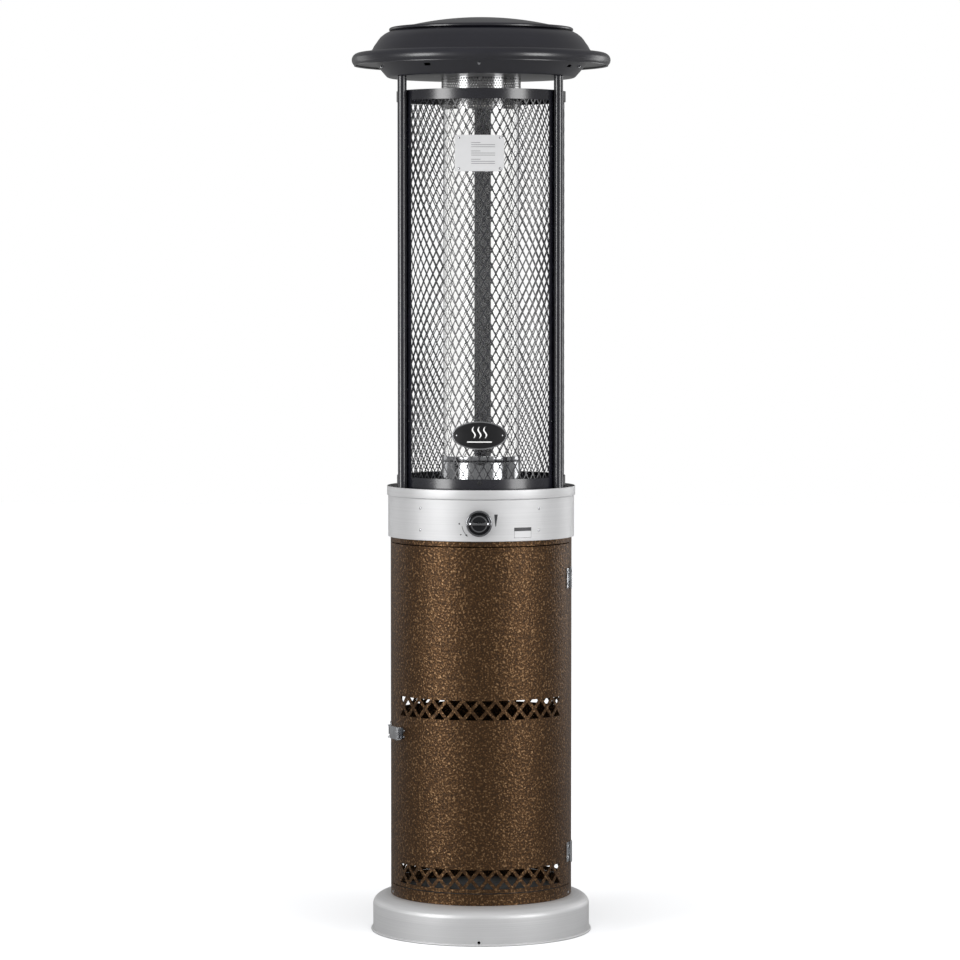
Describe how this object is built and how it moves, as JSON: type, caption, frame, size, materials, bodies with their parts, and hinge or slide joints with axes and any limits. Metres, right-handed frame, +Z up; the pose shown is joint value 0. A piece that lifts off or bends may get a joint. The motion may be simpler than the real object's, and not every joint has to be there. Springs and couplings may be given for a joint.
{
  "type": "outdoor heater",
  "caption": "Tall round gas patio heater: stainless base, bronze bottle cabinet with a hinged door, control head, glass flame tube in a mesh guard and a dished hood.",
  "frame": {"origin": "centre of the underside of the base, on the floor", "axes": "+Z up along the heater, -Y towards the front with the door and the knob, +X to the right as seen from the front"},
  "size_m": [0.509, 0.509, 1.803],
  "materials": {
    "stainless": "brushed",
    "stainless_plate": "satin",
    "perforated_steel": "satin",
    "chrome": "polished",
    "knob_chrome": "polished",
    "galvanised_steel": "matte",
    "bronze_paint": "hammered semi-gloss",
    "charcoal_paint": "semi-gloss",
    "guard_mesh_paint": "semi-gloss",
    "brass": "machined",
    "dark_plastic": "matte",
    "ceramic": "unglazed",
    "badge_enamel": "gloss",
    "glass": "clear"
  },
  "bodies": {
    "frame": {"back_shell": "bronze_paint", "badge": "badge_enamel", "base_cover": "stainless", "base_plate": "galvanised_steel", "bottom_rail": "bronze_paint", "burner_cup": "chrome", "burner_deck": "stainless", "burner_head": "stainless", "burner_supply_tube": "brass", "cabinet_floor": "galvanised_steel", "control_band": "stainless", "control_plate": "stainless_plate", "exhaust_screen": "perforated_steel", "gas_valve": "brass", "glass_tube": "glass", "guard_frame_front": "charcoal_paint", "guard_frame_left": "charcoal_paint", "guard_frame_right": "charcoal_paint", "guard_mesh_front": "guard_mesh_paint", "guard_mesh_left": "guard_mesh_paint", "guard_mesh_right": "guard_mesh_paint", "head_lip": "stainless", "hood_crown": "charcoal_paint", "hood_pan": "charcoal_paint", "hood_screw_1": "stainless", "hood_screw_2": "stainless", "hood_screw_3": "stainless", "hood_screw_4": "stainless", "hood_screw_5": "stainless", "hood_shell": "charcoal_paint", "ignition_electrode": "ceramic", "inlet_fitting": "brass", "latch_keeper": "chrome", "lower_glass_seal": "ceramic", "lower_hinge_frame_leaf": "chrome", "lower_hinge_pin": "chrome", "note_plate": "stainless_plate", "orifice_holder": "brass", "pilot_bracket": "galvanised_steel", "pilot_burner": "galvanised_steel", "pilot_tube": "brass", "post_left": "charcoal_paint", "post_rear": "charcoal_paint", "post_right": "charcoal_paint", "thermocouple": "galvanised_steel", "tilt_switch": "dark_plastic", "top_rail": "bronze_paint", "upper_glass_seal": "ceramic", "upper_hinge_frame_leaf": "chrome", "upper_hinge_pin": "chrome", "valve_bracket": "galvanised_steel"},
    "door": {"door": "bronze_paint", "upper_hinge_door_leaf": "chrome", "lower_hinge_door_leaf": "chrome", "latch_base": "chrome"},
    "latch_lever": {"latch_lever": "chrome"},
    "latch_bail": {"latch_bail": "chrome"},
    "push_sleeve": {"push_sleeve": "dark_plastic"},
    "knob": {"knob": "knob_chrome", "knob_spindle": "galvanised_steel"}
  },
  "joints": [
    {"name": "door_hinge", "type": "hinge", "parent": "frame", "child": "door", "pos_m": [0.17765, -0.04265, 0.4323], "axis": [0, 0, 1], "range_deg": [0, 120]},
    {"name": "latch_lever_pivot", "type": "hinge", "parent": "door", "child": "latch_lever", "pos_m": [-0.17853, -0.05563, 0.4003], "axis": [0, 0, -1], "range_deg": [0, 100]},
    {"name": "latch_bail_pivot", "type": "hinge", "parent": "latch_lever", "child": "latch_bail", "pos_m": [-0.17642, -0.06017, 0.4003], "axis": [0, 0, -1], "range_deg": [-100, 0]},
    {"name": "knob_push", "type": "slide", "parent": "frame", "child": "push_sleeve", "axis": [0, 1, 0], "range_m": [0, 0.004], "stiffness_N_per_m": 900},
    {"name": "knob_turn", "type": "hinge", "parent": "push_sleeve", "child": "knob", "pos_m": [0, -0.1906, 0.819], "axis": [0, -1, 0], "range_deg": [0, 180]}
  ],
  "couplings": [
    {"joint": "latch_bail_pivot", "follows": "latch_lever_pivot", "ratio": -1}
  ]
}
